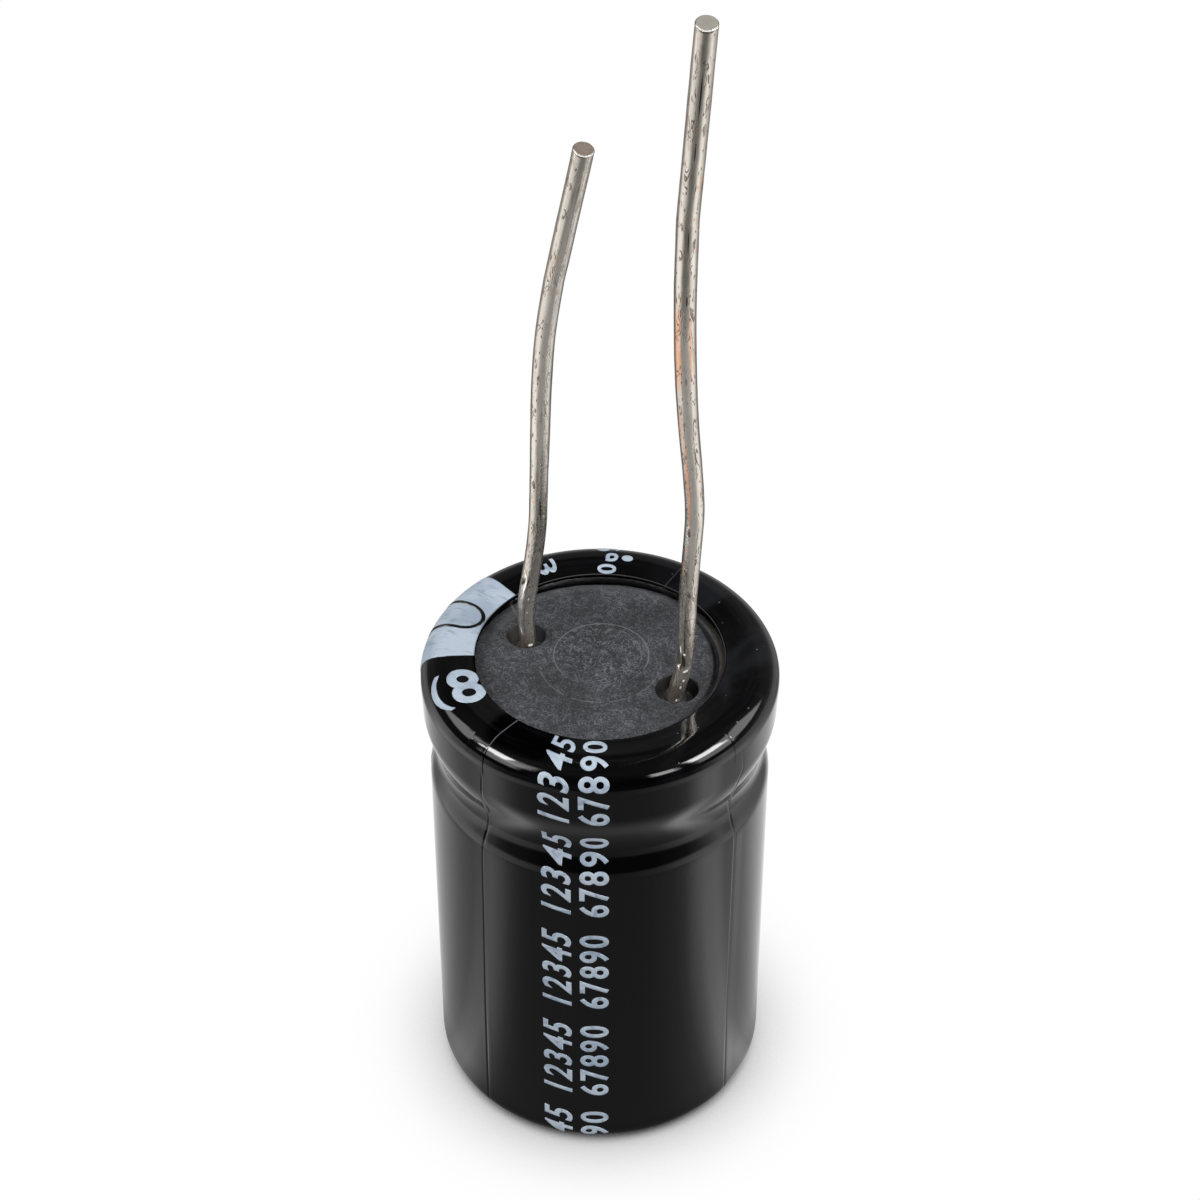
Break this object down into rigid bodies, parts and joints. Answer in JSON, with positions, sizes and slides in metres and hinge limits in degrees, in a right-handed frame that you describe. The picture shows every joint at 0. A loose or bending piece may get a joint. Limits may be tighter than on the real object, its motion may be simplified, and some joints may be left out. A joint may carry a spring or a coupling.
{
  "type": "radial electrolytic capacitor",
  "caption": "Radial aluminium electrolytic capacitor: sleeved round case with a beaded neck, rubber seal and long bent wire leads of unequal length.",
  "frame": {"origin": "centre of the flat base that the part stands on, at the outside of the sleeve's hem", "axes": "+Z from the base to the leads, along the case; +X from the negative lead's hole to the positive lead's hole"},
  "size_m": [0.0108, 0.0108, 0.0402],
  "materials": {
    "case_metal": "satin",
    "sleeve_film": "gloss",
    "pale_ink": "satin",
    "seal_rubber": "matt",
    "lead_wire": "satin",
    "terminal_metal": "satin",
    "etched_foil": "matt",
    "plain_foil": "satin",
    "separator_paper": "matt",
    "tape_film": "satin"
  },
  "bodies": {
    "root": {"case": "case_metal", "sleeve": "sleeve_film", "polarity_stripe": "pale_ink", "rubber_seal": "seal_rubber", "positive_lead": "lead_wire", "negative_lead": "lead_wire", "positive_terminal": "terminal_metal", "negative_terminal": "terminal_metal", "anode_foil": "etched_foil", "cathode_foil": "plain_foil", "inner_separator": "separator_paper", "outer_separator": "separator_paper", "winding_tape": "tape_film"}
  },
  "joints": []
}
